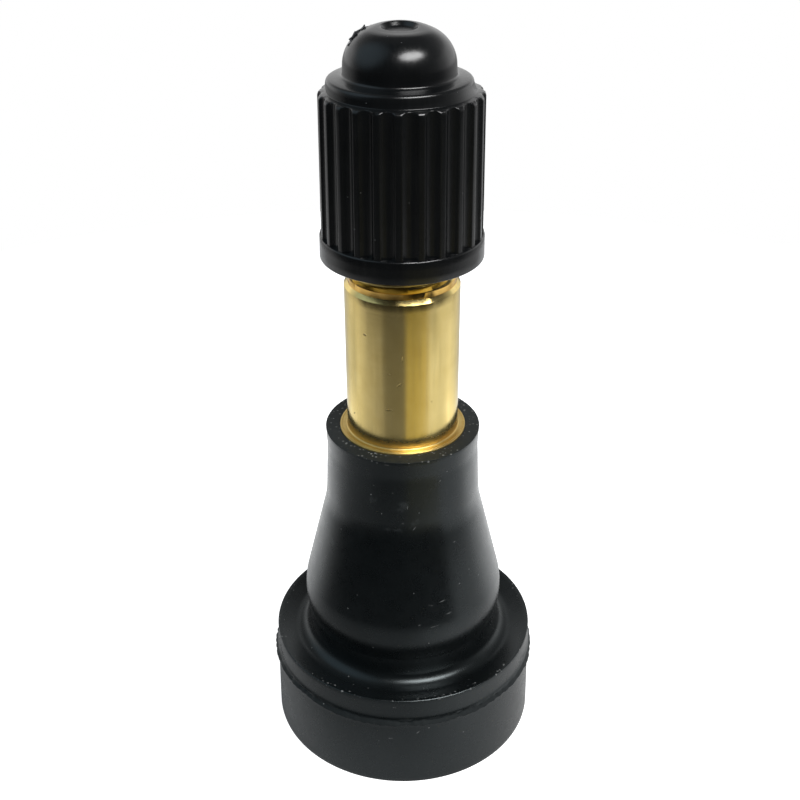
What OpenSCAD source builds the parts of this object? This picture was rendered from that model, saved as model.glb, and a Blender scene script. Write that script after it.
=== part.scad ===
// Snap-in rubber tyre valve: rubber base, brass stem, sprung valve core and fluted dust cap.
// Millimetres. The axis of the stem is Z, and the valve stands on its flange at Z = 0.

/* [Rubber base] */
// Diameter of the flange drum at its lower edge
foot_d = 20.86; // [18:0.02:24]
// Inward taper of the drum side, from its lower edge to the parting line
drum_taper = 0.12; // [0:0.02:0.5]
// Height of the mould's parting line above the lower edge
parting_h = 6.03; // [4.5:0.01:7]
// How far the flash stands out along the parting line
flash_reach = 0.27; // [0.1:0.01:0.6]
// Thickness of the flash at its outer edge
flash_t = 0.1; // [0.05:0.01:0.3]
// Height of the bead that slopes from the flange down to the flash
flash_rise = 0.53; // [0.2:0.01:0.8]
// How far the flange above the parting line steps in from the drum
flange_step = 0.06; // [0:0.01:0.4]
// Height of the flange's sealing lip above the lower edge
flange_h = 8.24; // [7.6:0.02:11]
// Depth of the dish in the flange's upper face, before its fillet
dish_h = 0.85; // [0.3:0.05:1]
// Diameter of the rim groove's wall where it meets the dish, before the fillet
groove_foot_d = 15.2; // [15:0.02:15.8]
// Fillet between the dish and the wall of the groove
groove_fillet = 1; // [0.5:0.1:1.2]
// Diameter of the groove at its narrowest place, under the bulb
groove_d = 15; // [14.2:0.02:15.2]
// Rounding of the groove at its narrowest place
groove_round = 0.8; // [0.2:0.1:1.2]
// Height of the narrowest place above the sealing lip
groove_w = 1.66; // [1.2:0.02:2.2]
// Diameter of the bulb where its cone starts, before rounding
bulb_d = 15.86; // [15.5:0.02:18]
// Height of the sloping underside of the bulb
bulb_rise = 2.05; // [1.8:0.05:3]
// Rounding of the bulb's widest edge
bulb_round = 6; // [2:0.5:7]
// Height of the cone from the bulb to the neck
cone_h = 8.5; // [6:0.1:14]
// Height of the neck from the cone to the mouth
neck_h = 5.97; // [5:0.01:10]
// Rounding where the cone runs into the neck
neck_blend = 1.5; // [0.5:0.1:3]
// Rubber wall round the brass collar at the mouth
neck_wall = 1.075; // [0.7:0.005:1.6]
// How much wider the neck is at its foot than at the mouth, on the radius
neck_taper = 0.12; // [0:0.01:0.4]
// How much narrower the waist of the neck is than the mouth, on the radius
waist_depth = 0.08; // [0:0.01:0.2]
// Diameter of the recess under the flange that shows the end of the stem
recess_d = 7.6; // [5:0.1:9]
// Depth of that recess
recess_h = 2.2; // [1:0.1:3]
// Small rounding of the rubber's outer edges
rubber_round = 0.08; // [0.04:0.01:0.2]

/* [Stem] */
// Outside diameter of the cap thread
thread_d = 7.75; // [7.2:0.05:9]
// Step of the shoulder from the thread out to the bare barrel, on the radius
shoulder_step = 0.225; // [0.1:0.025:0.6]
// Length of the valve without its cap, from the lower face to the tip of the stem
valve_len = 49.4; // [45:0.1:75]
// Length of the threaded end from the shoulder to the tip
thread_len = 11.55; // [10:0.05:16]
// Chamfer at the tip
tip_chamfer = 0.5; // [0.2:0.1:0.8]
// How far the collar at the rubber's mouth stands out from the barrel
collar_step = 0.555; // [0.3:0.005:1]
// How far the collar stands above the rubber
collar_proud = 0.12; // [0.05:0.01:0.4]
// Length of the collar
collar_len = 3; // [1.5:0.1:4.5]
// Diameter of the shank inside the rubber
shank_d = 7; // [6:0.1:8]
// Diameter of the anchor flange at the lower end
anchor_d = 10.4; // [9.2:0.1:12]
// Thickness of the anchor flange
anchor_t = 1.4; // [0.8:0.1:2.5]
// Diameter of the air passage through the shank
passage_d = 3.3; // [2.4:0.1:3.6]
// Widening of the mouth for the core's thread, on the radius
mouth_chamfer = 0.35; // [0.1:0.05:0.5]

/* [Valve core] */
// Outside diameter of the core's thread
core_thread_d = 5.2; // [5:0.05:5.8]
// Diameter of the pin
pin_d = 1.2; // [1:0.05:1.3]
// How far the pin lies below the tip of the stem
pin_recess = 0.2; // [0.05:0.05:0.8]
// Diameter of the pin's head
pin_head_d = 2; // [1.6:0.1:2.4]
// Height of the pin's head
pin_head_h = 0.5; // [0.3:0.1:1]
// How far the pin can be pressed down
pin_travel = 1.2; // [0.6:0.1:1.6]
// Width of the bridge across the plug
bridge_w = 2.4; // [2:0.1:3]
// Height of the bridge
bridge_h = 1.7; // [1:0.1:3]
// Length of the threaded tube under the bridge
plug_len = 2.4; // [2:0.1:4]
// Height of the lip that holds the core barrel in the plug
lip_h = 0.6; // [0.3:0.1:0.8]
// How far the lip reaches under the barrel's head
lip_reach = 0.3; // [0.15:0.05:0.4]
// Height of the barrel's head
barrel_head_h = 0.9; // [0.6:0.1:1.1]
// Wall of the core barrel
core_wall = 0.5; // [0.4:0.05:0.6]
// Depth of the groove that holds the seal ring
seal_groove = 0.2; // [0.1:0.05:0.25]
// Height of the barrel's flange above the seal ring
core_flange_h = 0.85; // [0.5:0.05:1.5]
// How far that flange stands out from the barrel
core_flange_reach = 0.45; // [0.3:0.05:0.5]
// Length of the seal ring
seal_len = 1.95; // [1:0.05:3]
// Length of the core barrel below the seal ring
core_body_len = 4.3; // [3:0.1:8]
// Height of the ledge that carries the spring
ledge_h = 0.8; // [0.4:0.1:1.5]
// Air gap round the pin at that ledge
air_gap = 0.25; // [0.15:0.05:0.3]
// Thickness of the spring wire
spring_wire = 0.36; // [0.25:0.01:0.4]
// Number of turns of the spring, closed end turns included
spring_turns = 9; // [6:1:12]
// Height of the collar that the spring pushes
spring_collar_h = 0.5; // [0.3:0.1:1]
// Wall of the cup
cup_wall = 0.25; // [0.15:0.05:0.4]
// Thickness of the cup's floor
cup_floor = 0.5; // [0.3:0.1:1]
// Thickness of the washer in the cup
cup_washer_t = 1.1; // [0.8:0.1:2]
// Height and reach of the riveted end of the pin
rivet = 0.4; // [0.2:0.1:0.6]

/* [Dust cap] */
// Gap from the shoulder of the stem to the mouth of the cap
cap_standoff = 2.17; // [0.5:0.01:4]
// Wall of the cap from the thread to the crests of the ribs, at the lower end
cap_wall = 1.61; // [1.3:0.01:2.6]
// Inward taper of the ribs from their lower to their upper end
rib_taper = 0.095; // [0:0.005:0.4]
// How far the rim band stands out from the ribs
rim_reach = 0.14; // [0.05:0.01:0.6]
// Height of the rim band
rim_h = 1.6; // [0.8:0.02:3]
// Number of flutes
flute_count = 24; // [16:1:32]
// Depth of a flute
flute_depth = 0.42; // [0.2:0.02:0.6]
// Width of the crest between two flutes
crest_w = 0.26; // [0.15:0.01:0.5]
// Rounding of the ribs' upper ends
rib_round = 0.3; // [0.05:0.05:0.4]
// Turn of the first flute from the X axis
flute_turn = 5.5; // [0:0.5:15]
// Thickness of the roof over the sealing washer, up to the upper end of the ribs
roof_t = 0.6; // [0.5:0.05:2]
// Wall from the thread to the edge of the upper ledge
ledge_wall = 0.8; // [0.6:0.05:1.2]
// Height of the upper ledge above the ribs
ledge_rise = 0.95; // [0.5:0.05:2]
// Rounding of the upper ledge's edge
ledge_round = 0.26; // [0.05:0.01:0.3]
// Diameter of the dome at its foot
dome_d = 7.44; // [6.4:0.02:8.4]
// Height of the dome above the upper ledge
dome_h = 3.08; // [2.4:0.02:4]
// Rounding of the dome's shoulder
dome_round = 2.4; // [1:0.1:2.5]
// Wall of the dome
dome_wall = 1.2; // [0.8:0.1:1.6]
// Width of the moulding dimple on the dome
dimple_d = 2.4; // [1:0.1:2.6]
// Depth of the dimple
dimple_h = 0.28; // [0.1:0.02:0.5]
// Thickness of the sealing washer inside the cap
cap_seal_t = 1.2; // [0.8:0.1:2]
// Hole in the sealing washer
cap_seal_hole = 5; // [3:0.1:6]

/* [Clearances] */
// Film between the rubber and the brass bonded into it
bond_gap = 0.02; // [0.01:0.01:0.05]
// Gap between core pieces that are fixed to each other
fit_gap = 0.02; // [0.01:0.01:0.05]
// Running gap round the pin and its collar
slide_gap = 0.06; // [0.03:0.01:0.1]
// Gap round the core's thread
core_thread_gap = 0.03; // [0.01:0.01:0.08]
// Gap between the seal ring and its seat in the stem
seal_gap = 0.03; // [0.01:0.01:0.06]
// Gap round the spring, inside and outside
spring_gap = 0.09; // [0.05:0.01:0.12]
// Gap between the core barrel and the chamber in the stem
chamber_gap = 0.3; // [0.2:0.05:0.4]
// Room left at the end of the pin's travel
stop_gap = 0.2; // [0.1:0.05:0.5]
// Gap between the cap's thread and the stem's
cap_play = 0.075; // [0.03:0.005:0.15]
// Gap between the sealing washer and the tip of the stem
cap_seat_gap = 0.05; // [0.02:0.01:0.2]

/* [Hidden] */
$fn = 96;
arc_steps = 8;

// Rubber base, heights from the lower edge and radii
foot_r = foot_d / 2;
drum_r = foot_r - drum_taper;
flash_r = drum_r + flash_reach;
flange_r = drum_r - flange_step;
bulb_low_z = flange_h + groove_w;
bulb_z = bulb_low_z + bulb_rise;
neck_z = bulb_z + cone_h;
base_h = neck_z + neck_h;

// Stem
thread_r = thread_d / 2;
barrel_r = thread_r + shoulder_step;
collar_r = barrel_r + collar_step;
mouth_r = collar_r + neck_wall;
collar_top_z = base_h + collar_proud;
collar_low_z = collar_top_z - collar_len;
tip_z = valve_len;
shoulder_z = tip_z - thread_len;
anchor_z = recess_h + anchor_t;
shank_r = shank_d / 2;
core_bore_r = core_thread_d / 2 + core_thread_gap;

// Core radii, from the pin outwards
pin_r = pin_d / 2;
spring_r = pin_r + spring_gap + spring_wire / 2;
spring_bore_r = spring_r + spring_wire / 2 + spring_gap;
core_barrel_r = spring_bore_r + core_wall;
core_neck_r = core_barrel_r - seal_groove;
barrel_head_r = core_neck_r + lip_reach;
plug_bore_r = barrel_head_r + slide_gap;
core_flange_r = core_barrel_r + core_flange_reach;
chamber_r = core_barrel_r + chamber_gap;
seat_r = core_flange_r + chamber_gap / 2;
cup_washer_r = core_barrel_r - cup_wall - fit_gap;

// Core heights, from the tip of the stem downwards
pin_top_z = tip_z - pin_recess;
bridge_top_z = pin_top_z - pin_head_h - pin_travel - stop_gap;
plug_top_z = bridge_top_z - bridge_h;
plug_low_z = plug_top_z - plug_len;
barrel_head_z = plug_low_z + lip_h + fit_gap;
barrel_top_z = barrel_head_z + barrel_head_h;
core_flange_top_z = plug_low_z - fit_gap;
core_flange_z = core_flange_top_z - core_flange_h;
seal_low_z = core_flange_z - seal_len;
barrel_low_z = seal_low_z - core_body_len;
ledge_z = barrel_low_z + ledge_h;
spring_collar_z = barrel_top_z - 2 * spring_collar_h;
cup_washer_top_z = barrel_low_z - fit_gap;
cup_floor_z = cup_washer_top_z - cup_washer_t - fit_gap;
cup_low_z = cup_floor_z - cup_floor;
pin_end_z = cup_low_z - fit_gap - rivet;
chamber_low_z = pin_end_z - pin_travel - stop_gap;

// Cap
cap_bore_r = thread_r + cap_play;
crest_r = cap_bore_r + cap_wall;
crest_top_r = crest_r - rib_taper;
rim_r = crest_r + rim_reach;
ledge_r = cap_bore_r + ledge_wall;
cap_z = shoulder_z + cap_standoff;
rib_z = cap_z + rim_h;
ceiling_z = tip_z + cap_seat_gap + cap_seal_t + fit_gap;
rib_top_z = ceiling_z + roof_t;
ledge_top_z = rib_top_z + ledge_rise;
dome_top_z = ledge_top_z + dome_h;
dome_r = dome_d / 2;
cavity_r = dome_r - dome_wall;
flute_w = 2 * PI * crest_r / flute_count - crest_w;
flute_r = (flute_w * flute_w / 4 + flute_depth * flute_depth) / (2 * flute_depth);
rib_lean = atan(rib_taper / (rib_top_z - rib_z));

// One corner of an outline, turned into an arc that leaves each leg its share
function unit(v) = v / norm(v);
function flat(corner) = [corner.x, corner.y];
function rounding(corner) = is_undef(corner.z) ? 0 : corner.z;
function leg_share(corner, other) =
    norm(flat(corner) - flat(other)) * corner.z / (corner.z + rounding(other));
function corner_arc(before, corner, after) =
    let (at = flat(corner),
         to_before = unit(flat(before) - at),
         to_after = unit(flat(after) - at),
         half = acos(to_before * to_after) / 2,
         reach = min(corner.z / tan(half), leg_share(corner, before), leg_share(corner, after)),
         radius = reach * tan(half),
         centre = at + unit(to_before + to_after) * radius / sin(half),
         first = at + to_before * reach - centre,
         last = at + to_after * reach - centre,
         sweep = atan2(cross(first, last), first * last),
         start = atan2(first.y, first.x))
    [for (i = [0 : arc_steps])
        let (angle = start + sweep * i / arc_steps)
        centre + radius * [cos(angle), sin(angle)]];

// Outline through corners given as [radius, height] or [radius, height, rounding]
function rounded(corners) =
    let (count = len(corners))
    [for (i = [0 : count - 1])
        each rounding(corners[i]) > 0
            ? corner_arc(corners[(i + count - 1) % count], corners[i], corners[(i + 1) % count])
            : [flat(corners[i])]];

// A ring or solid of revolution with that outline
module turned(corners) {
    rotate_extrude() polygon(rounded(corners));
}

// Outline of the stem inside the rubber, from the mouth down to the lower end
function insert_corners(gap) = [
    [collar_r + gap, collar_low_z],
    [shank_r + gap, collar_low_z - (collar_r - shank_r)],
    [shank_r + gap, anchor_z + gap],
    [anchor_d / 2 + gap, anchor_z + gap],
    [anchor_d / 2 + gap, recess_h - gap]];

module rubber_base() {
    color("#1e2122") turned([
        [recess_d / 2, 0],
        [foot_r, 0, rubber_round],
        [drum_r, parting_h - flash_t / 2 - flash_reach / 2],
        [flash_r, parting_h - flash_t / 2],
        [flash_r, parting_h + flash_t / 2],
        [flange_r, parting_h + flash_rise, flash_t],
        [flange_r, flange_h, rubber_round],
        [groove_foot_d / 2, flange_h - dish_h, groove_fillet],
        [groove_d / 2, bulb_low_z, groove_round],
        [bulb_d / 2, bulb_z, bulb_round],
        [mouth_r + neck_taper, neck_z, neck_blend],
        [mouth_r - waist_depth, base_h - neck_h / 4, neck_h],
        [mouth_r, base_h, rubber_round],
        [collar_r + bond_gap, base_h],
        each insert_corners(bond_gap),
        [recess_d / 2, recess_h - bond_gap]]);
}

// Inside of the stem, from the tip down to the lower end
function bore_corners() = [
    [core_bore_r + mouth_chamfer, tip_z],
    [core_bore_r, tip_z - mouth_chamfer],
    [core_bore_r, core_flange_top_z],
    [seat_r, core_flange_z],
    [chamber_r, seal_low_z],
    [chamber_r, chamber_low_z],
    [passage_d / 2, chamber_low_z - (chamber_r - passage_d / 2)],
    [passage_d / 2, recess_h]];

module stem() {
    insert = insert_corners(0);
    color("#d3b277") turned([
        each [for (i = [len(insert) - 1 : -1 : 0]) insert[i]],
        [collar_r, collar_top_z, collar_proud / 2],
        [barrel_r, collar_top_z],
        [barrel_r, shoulder_z],
        [thread_r, shoulder_z + shoulder_step],
        [thread_r, tip_z - tip_chamfer],
        [thread_r - tip_chamfer, tip_z],
        each bore_corners()]);
}

module core_plug() {
    plug_r = core_thread_d / 2;
    plug_h = bridge_top_z - plug_low_z;
    color("#c9a65f") translate([0, 0, plug_low_z]) difference() {
        union() {
            cylinder(r = plug_r, h = plug_len);
            intersection() {
                cylinder(r = plug_r, h = plug_h);
                translate([-plug_r, -bridge_w / 2, 0]) cube([2 * plug_r, bridge_w, plug_h]);
            }
        }
        translate([0, 0, -plug_h]) cylinder(r = pin_r + slide_gap, h = 3 * plug_h);
        translate([0, 0, -lip_h]) cylinder(r = core_neck_r + slide_gap, h = 3 * lip_h);
        translate([0, 0, lip_h]) cylinder(r = plug_bore_r, h = plug_len - lip_h);
    }
}

module core_barrel() {
    ledge_bore_r = pin_r + air_gap;
    seat_lip_r = cup_washer_r - fit_gap;
    color("#cfae6a") turned([
        [ledge_bore_r, barrel_low_z],
        [seat_lip_r, barrel_low_z],
        [core_barrel_r, barrel_low_z + core_barrel_r - seat_lip_r],
        [core_barrel_r, seal_low_z - fit_gap],
        [core_neck_r, seal_low_z - fit_gap],
        [core_neck_r, core_flange_z],
        [core_flange_r, core_flange_z],
        [core_flange_r, core_flange_top_z],
        [core_neck_r, core_flange_top_z],
        [core_neck_r, barrel_head_z],
        [barrel_head_r, barrel_head_z],
        [barrel_head_r, barrel_top_z],
        [spring_bore_r, barrel_top_z],
        [spring_bore_r, ledge_z],
        [ledge_bore_r, ledge_z]]);
}

module core_seal() {
    seat_slope = (seat_r - chamber_r) / seal_len;
    color("#b8322a") turned([
        [core_neck_r + fit_gap, seal_low_z],
        [chamber_r - seal_gap, seal_low_z],
        [seat_r - seal_gap - seat_slope * fit_gap, core_flange_z - fit_gap],
        [core_neck_r + fit_gap, core_flange_z - fit_gap]]);
}

// Height of the spring's centre line at a share of its length, with one closed turn at each end
function coil_height(share, length, turns, closed) =
    let (turn = share * turns)
    turn < 1 ? turn * closed
        : turn > turns - 1 ? length - (turns - turn) * closed
        : closed + (turn - 1) / (turns - 2) * (length - 2 * closed);

module core_spring() {
    steps_per_turn = 18;
    sides = 8;
    wire_r = spring_wire / 2;
    low_z = ledge_z + wire_r + fit_gap;
    length = spring_collar_z - wire_r - fit_gap - low_z;
    rings = spring_turns * steps_per_turn;
    points = [for (i = [0 : rings], s = [0 : sides - 1])
        let (angle = 360 * i / steps_per_turn,
             reach = spring_r + wire_r * cos(360 * s / sides))
        [reach * cos(angle), reach * sin(angle),
         low_z + coil_height(i / rings, length, spring_turns, spring_wire + fit_gap)
             + wire_r * sin(360 * s / sides)]];
    walls = [for (i = [0 : rings - 1], s = [0 : sides - 1])
        let (next = (s + 1) % sides)
        [i * sides + s, i * sides + next, (i + 1) * sides + next, (i + 1) * sides + s]];
    first_end = [for (s = [sides - 1 : -1 : 0]) s];
    last_end = [for (s = [0 : sides - 1]) rings * sides + s];
    color("#b9bec2") polyhedron(points, [each walls, first_end, last_end]);
}

module core_pin() {
    color("#d8bd86") turned([
        [0, pin_end_z],
        [pin_r + rivet, pin_end_z],
        [pin_r + rivet, pin_end_z + rivet],
        [pin_r, pin_end_z + rivet],
        [pin_r, pin_top_z - pin_head_h],
        [pin_head_d / 2, pin_top_z - pin_head_h],
        [pin_head_d / 2, pin_top_z, pin_head_h / 4],
        [0, pin_top_z]]);
}

module spring_collar() {
    color("#c4a15c") turned([
        [pin_r + fit_gap, spring_collar_z],
        [spring_bore_r - slide_gap, spring_collar_z],
        [spring_bore_r - slide_gap, spring_collar_z + spring_collar_h],
        [pin_r + fit_gap, spring_collar_z + spring_collar_h]]);
}

module pin_cup() {
    rim_z = cup_washer_top_z - cup_wall;
    color("#cfae6a") turned([
        [pin_r + fit_gap, cup_low_z],
        [core_barrel_r, cup_low_z, cup_wall],
        [core_barrel_r, rim_z],
        [core_barrel_r - cup_wall, rim_z],
        [core_barrel_r - cup_wall, cup_floor_z],
        [pin_r + fit_gap, cup_floor_z]]);
}

module cup_washer() {
    color("#26282a") turned([
        [pin_r + fit_gap, cup_floor_z + fit_gap],
        [cup_washer_r, cup_floor_z + fit_gap],
        [cup_washer_r, cup_washer_top_z],
        [pin_r + fit_gap, cup_washer_top_z]]);
}

module dust_cap() {
    edge = rim_reach / 2;
    color("#15171a") difference() {
        turned([
            [cap_bore_r + mouth_chamfer, cap_z],
            [rim_r, cap_z, edge],
            [rim_r - edge / 2, rib_z, edge],
            [crest_r, rib_z],
            [crest_top_r, rib_top_z, rib_round],
            [ledge_r + rim_reach, rib_top_z, roof_t / 3],
            [ledge_r, ledge_top_z, ledge_round],
            [dome_r, ledge_top_z, roof_t / 3],
            [dome_r - rim_reach, dome_top_z - dimple_h, dome_round],
            [dimple_d / 2, dome_top_z],
            [0, dome_top_z - dimple_h],
            [0, dome_top_z - dimple_h - dome_wall],
            [cavity_r, dome_top_z - dimple_h - dome_wall, dome_wall],
            [cavity_r, ceiling_z],
            [cap_bore_r, ceiling_z],
            [cap_bore_r, cap_z + mouth_chamfer]]);
        for (i = [0 : flute_count - 1])
            rotate(flute_turn + 360 * i / flute_count)
                translate([crest_r - flute_depth + flute_r, 0, rib_z])
                    rotate([0, -rib_lean, 0])
                        cylinder(r = flute_r, h = 2 * (rib_top_z - rib_z));
    }
}

module cap_seal() {
    color("#303335") turned([
        [cap_seal_hole / 2, tip_z + cap_seat_gap],
        [cap_bore_r - slide_gap, tip_z + cap_seat_gap],
        [cap_bore_r - slide_gap, ceiling_z - fit_gap],
        [cap_seal_hole / 2, ceiling_z - fit_gap]]);
}

rubber_base();
stem();
core_plug();
core_barrel();
core_seal();
core_spring();
core_pin();
spring_collar();
pin_cup();
cup_washer();
dust_cap();
cap_seal();
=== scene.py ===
"""Looks of a snap-in tyre valve: rubber base, brass stem, valve core and fluted dust cap.

Sizes are in millimetres and angles in degrees until a mesh is made. The axis of the stem is Z.
"""

import math

import bmesh
import bpy
import numpy as np
from mathutils import Matrix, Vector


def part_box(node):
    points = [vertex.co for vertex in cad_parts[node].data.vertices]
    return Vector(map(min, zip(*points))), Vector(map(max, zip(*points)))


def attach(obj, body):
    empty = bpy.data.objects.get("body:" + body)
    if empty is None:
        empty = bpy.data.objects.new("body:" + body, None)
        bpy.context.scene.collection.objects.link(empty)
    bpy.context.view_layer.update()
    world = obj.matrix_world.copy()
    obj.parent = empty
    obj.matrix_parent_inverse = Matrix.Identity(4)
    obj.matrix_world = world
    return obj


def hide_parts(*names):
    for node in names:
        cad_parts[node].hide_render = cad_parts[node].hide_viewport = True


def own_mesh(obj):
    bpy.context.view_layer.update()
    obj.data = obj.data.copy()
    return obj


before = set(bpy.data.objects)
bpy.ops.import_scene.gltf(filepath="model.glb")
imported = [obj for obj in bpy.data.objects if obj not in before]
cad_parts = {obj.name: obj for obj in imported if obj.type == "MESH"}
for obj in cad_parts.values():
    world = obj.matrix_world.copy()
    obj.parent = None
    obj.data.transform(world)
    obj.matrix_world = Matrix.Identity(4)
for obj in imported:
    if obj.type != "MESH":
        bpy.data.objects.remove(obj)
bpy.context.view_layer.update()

MM = 0.001
TURN = 2 * math.pi


def top_of(node):
    """Height of a CAD node's upper end."""
    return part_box(node)[1].z / MM


def foot_of(node):
    """Height of a CAD node's lower end."""
    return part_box(node)[0].z / MM


# Heights from the solids
BASE_H = top_of("rubber_base")
TIP_Z = top_of("stem")
CAP_Z = foot_of("dust_cap")
DOME_Z = top_of("dust_cap")

# Rubber base
FOOT_R = 10.43
DRUM_R = 10.31
FLANGE_R = 10.25
FLANGE_H = 8.24
FLASH_R = 10.58
PARTING_H = 6.03
RECESS_R = 3.8
DISH_DEPTH = 0.85
GROOVE_R, GROOVE_Z = 7.5, 9.9
BULB_R, BULB_Z = 7.93, 11.95
NECK_Z = BASE_H - 5.97
NECK_R = 5.65
MOUTH_R = 5.73
BOND_GAP = 0.02

# Stem
BARREL_R = 4.1
COLLAR_R = 4.655
COLLAR_TOP = BASE_H + 0.12
COLLAR_LOW = COLLAR_TOP - 3
SHANK_R = 3.5
ANCHOR_R = 5.2
ANCHOR_LOW, ANCHOR_TOP = 2.2, 3.6
SHOULDER_Z = TIP_Z - 11.55
CHAMFER = 0.28
RELIEF_LAND = 0.42
THREAD_LOW = SHOULDER_Z + CHAMFER + RELIEF_LAND
THREAD_R = 3.875
THREAD_DEPTH = 0.43
THREAD_PITCH = 25.4 / 32
CORE_BORE_R = 2.63
CORE_PITCH = 25.4 / 36
CHAMBER_R = 1.94
PASSAGE_R = 1.65

# Valve core
SPRING_LOW, SPRING_HIGH = 37.08, 43.52
SPRING_WIRE_R = 0.18

# Cap
RIB_Z = CAP_Z + 1.6
RIB_TOP_Z = DOME_Z - 4.03
LEDGE_Z = DOME_Z - 3.08
CREST_R = 5.56
CREST_TOP_R = 5.465
CAP_BORE_R = 3.95
FLUTES = 24
FLUTE_TURN = 5.5
FLUTE_DEPTH = 0.27
CREST_W = 0.42
RIM_R = 5.7
DOME_R = 3.72
CAVITY_R, CAVITY_Z = 2.52, 53.82


# Outlines and meshes

def corner_arc(before, corner, after, step):
    """Points of a rounded corner, which leaves each neighbour its share of the leg between them."""
    at, size = np.array(corner[:2], float), corner[2]
    legs, shares = [], []
    for other in (before, after):
        leg = np.array(other[:2], float) - at
        length = np.linalg.norm(leg)
        legs.append(leg / length)
        shares.append(length * size / (size + (other[2] if len(other) > 2 else 0)))
    half = math.acos(np.clip(legs[0] @ legs[1], -1, 1)) / 2
    reach = min(size / math.tan(half), *shares)
    radius = reach * math.tan(half)
    middle = legs[0] + legs[1]
    centre = at + middle / np.linalg.norm(middle) * radius / math.sin(half)
    first, last = at + legs[0] * reach - centre, at + legs[1] * reach - centre
    start = math.atan2(first[1], first[0])
    sweep = math.atan2(first[0] * last[1] - first[1] * last[0], first @ last)
    count = max(3, math.ceil(abs(sweep) * radius / step))
    return [centre + radius * np.array([math.cos(a), math.sin(a)])
            for a in start + sweep * np.linspace(0, 1, count + 1)]


def outline(corners, step=0.12, longest=9.0):
    """Points through corners (radius, height) or (radius, height, rounding), ends kept sharp."""
    points = []
    for i, corner in enumerate(corners):
        if len(corner) > 2:
            points += corner_arc(corners[i - 1], corner, corners[i + 1], step)
        else:
            points.append(np.array(corner, float))
    fine = [points[0]]
    for a, b in zip(points, points[1:]):
        pieces = max(1, math.ceil(np.linalg.norm(b - a) / longest))
        fine += [a + (b - a) * k / pieces for k in range(1, pieces + 1)]
    return fine


def columns(count):
    """Evenly spaced angles round the axis."""
    return np.arange(count) * TURN / count


def smooth(x, low, high):
    """0 below low, 1 above high, smooth between them."""
    t = np.clip((x - low) / (high - low), 0, 1)
    return t * t * (3 - 2 * t)


def ring_noise(angles, seed, waves):
    """Seeded unevenness round a ring, between -1 and 1."""
    draw = np.random.default_rng(seed)
    total = sum(np.cos(w * angles + draw.uniform(0, TURN)) * draw.uniform(0.4, 1) for w in waves)
    return total / np.abs(total).max()


def skin_noise(angles, heights, seed, waves, longest):
    """Seeded unevenness over a round skin; longest is the longest wave along Z."""
    draw = np.random.default_rng(seed)
    total = 0
    for _ in range(waves):
        around, along = draw.integers(1, 12), draw.uniform(1, 6) / longest
        total = total + np.cos(around * angles + TURN * along * heights + draw.uniform(0, TURN))
    return total / waves


class Skin:
    """Rows of points round the Z axis, from which a mesh is made. A row may climb along a helix."""

    def __init__(self, angles):
        self.angles, self.radii, self.heights, self.seam = angles, [], [], []

    def add(self, points):
        """Level rows through outline points."""
        for radius, height in points:
            self.seam.append(len(self.radii))
            self.radii.append(np.full(len(self.angles), radius))
            self.heights.append(np.full(len(self.angles), height))

    def thread(self, low, high, pitch, form, radius, down=False):
        """Rows along a right-hand helix from low to high. form lists (share of pitch, depth)."""
        turns = range(-1, math.ceil((high - low) / pitch) + 1)
        rows = [(share + turn, depth) for turn in turns for share, depth in form]
        first, last = len(self.radii), len(self.radii) + len(rows) - 1
        shift = len(form)
        if down:
            rows, shift = rows[::-1], -shift
        for i, (share, depth) in enumerate(rows):
            height = np.clip(low + (share + self.angles / TURN) * pitch, low, high)
            self.seam.append(min(max(first + i + shift, first), last))
            self.radii.append(radius(height, depth))
            self.heights.append(height)

    def mesh(self, name, closed, sharp=32):
        """The finished mesh object; closed joins the last row to the first."""
        radii, heights = np.array(self.radii), np.array(self.heights)
        rows, count = radii.shape
        places = np.stack([radii * np.cos(self.angles), radii * np.sin(self.angles), heights], -1)
        seam = np.array(self.seam)
        row = np.arange(rows if closed else rows - 1)
        after = (row + 1) % rows
        col = np.arange(count)
        beside = (col + 1) % count
        at_seam = (col == count - 1)[None, :]
        near = np.where(at_seam, seam[row][:, None], row[:, None]) * count + beside
        far = np.where(at_seam, seam[after][:, None], after[:, None]) * count + beside
        quads = np.stack([row[:, None] * count + col, near, far, after[:, None] * count + col], -1)
        return mesh_object(name, places.reshape(-1, 3), quads.reshape(-1, 4), sharp)


def mesh_object(name, points, faces, sharp):
    """A shaded mesh object from points in mm, with points that coincide joined."""
    mesh = bpy.data.meshes.new(name)
    mesh.from_pydata((np.asarray(points) * MM).tolist(), [], np.asarray(faces).tolist())
    work = bmesh.new()
    work.from_mesh(mesh)
    bmesh.ops.remove_doubles(work, verts=work.verts, dist=0.0005 * MM)
    bmesh.ops.dissolve_degenerate(work, edges=work.edges, dist=0.0004 * MM)
    bmesh.ops.recalc_face_normals(work, faces=work.faces)
    work.to_mesh(mesh)
    work.free()
    mesh.shade_smooth()
    mesh.set_sharp_from_angle(angle=math.radians(sharp))
    made = bpy.data.objects.new(name, mesh)
    bpy.context.scene.collection.objects.link(made)
    return made


# Shader nodes

def node(tree, kind, inputs=(), **settings):
    """A shader node; inputs maps a socket's name or number to a value or another node's output."""
    made = tree.nodes.new("ShaderNode" + kind)
    for key, value in settings.items():
        setattr(made, key, value)
    for key, value in dict(inputs).items():
        if isinstance(value, bpy.types.NodeSocket):
            tree.links.new(value, made.inputs[key])
        else:
            made.inputs[key].default_value = value
    return made


def maths(tree, operation, *values):
    """Output of a math node."""
    return node(tree, "Math", dict(enumerate(values)), operation=operation).outputs[0]


def mixed(tree, share, first, second):
    """Colour between two colours."""
    made = node(tree, "Mix", {0: share, 6: first, 7: second}, data_type="RGBA")
    return made.outputs[2]


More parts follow.
